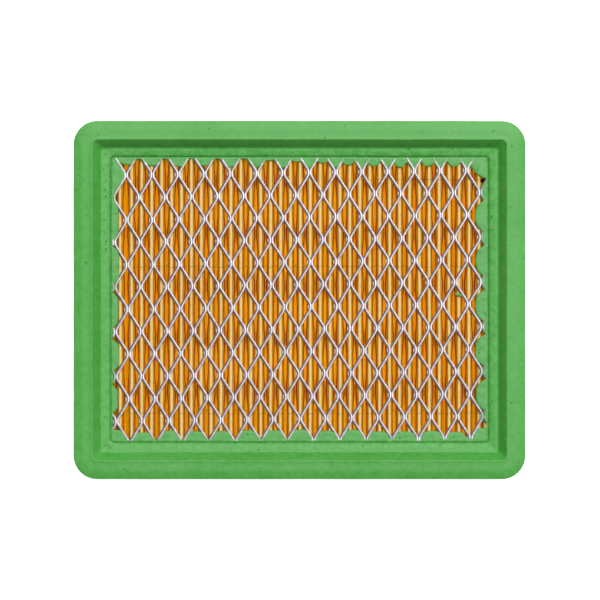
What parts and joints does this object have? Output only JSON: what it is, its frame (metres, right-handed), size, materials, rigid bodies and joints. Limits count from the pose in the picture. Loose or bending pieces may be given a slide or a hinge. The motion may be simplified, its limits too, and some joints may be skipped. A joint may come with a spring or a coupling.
{
  "type": "panel air filter element",
  "caption": "Flat rectangular engine air filter: a soft green moulded frame with a stepped rim round a yellow pleated paper pack, behind an expanded steel screen.",
  "frame": {"origin": "middle of the back face that the element lies on, in line with the middle of the frame", "axes": "+X along the frame's long side and across the pleats, +Y along its short side and the pleats, +Z from the back face towards the screen"},
  "size_m": [0.133, 0.1054, 0.022],
  "materials": {
    "frame": "satin",
    "paper": "matte",
    "screen": "satin"
  },
  "bodies": {
    "root": {"moulded_frame": "frame", "pleated_paper": "paper", "expanded_screen": "screen"}
  },
  "joints": []
}
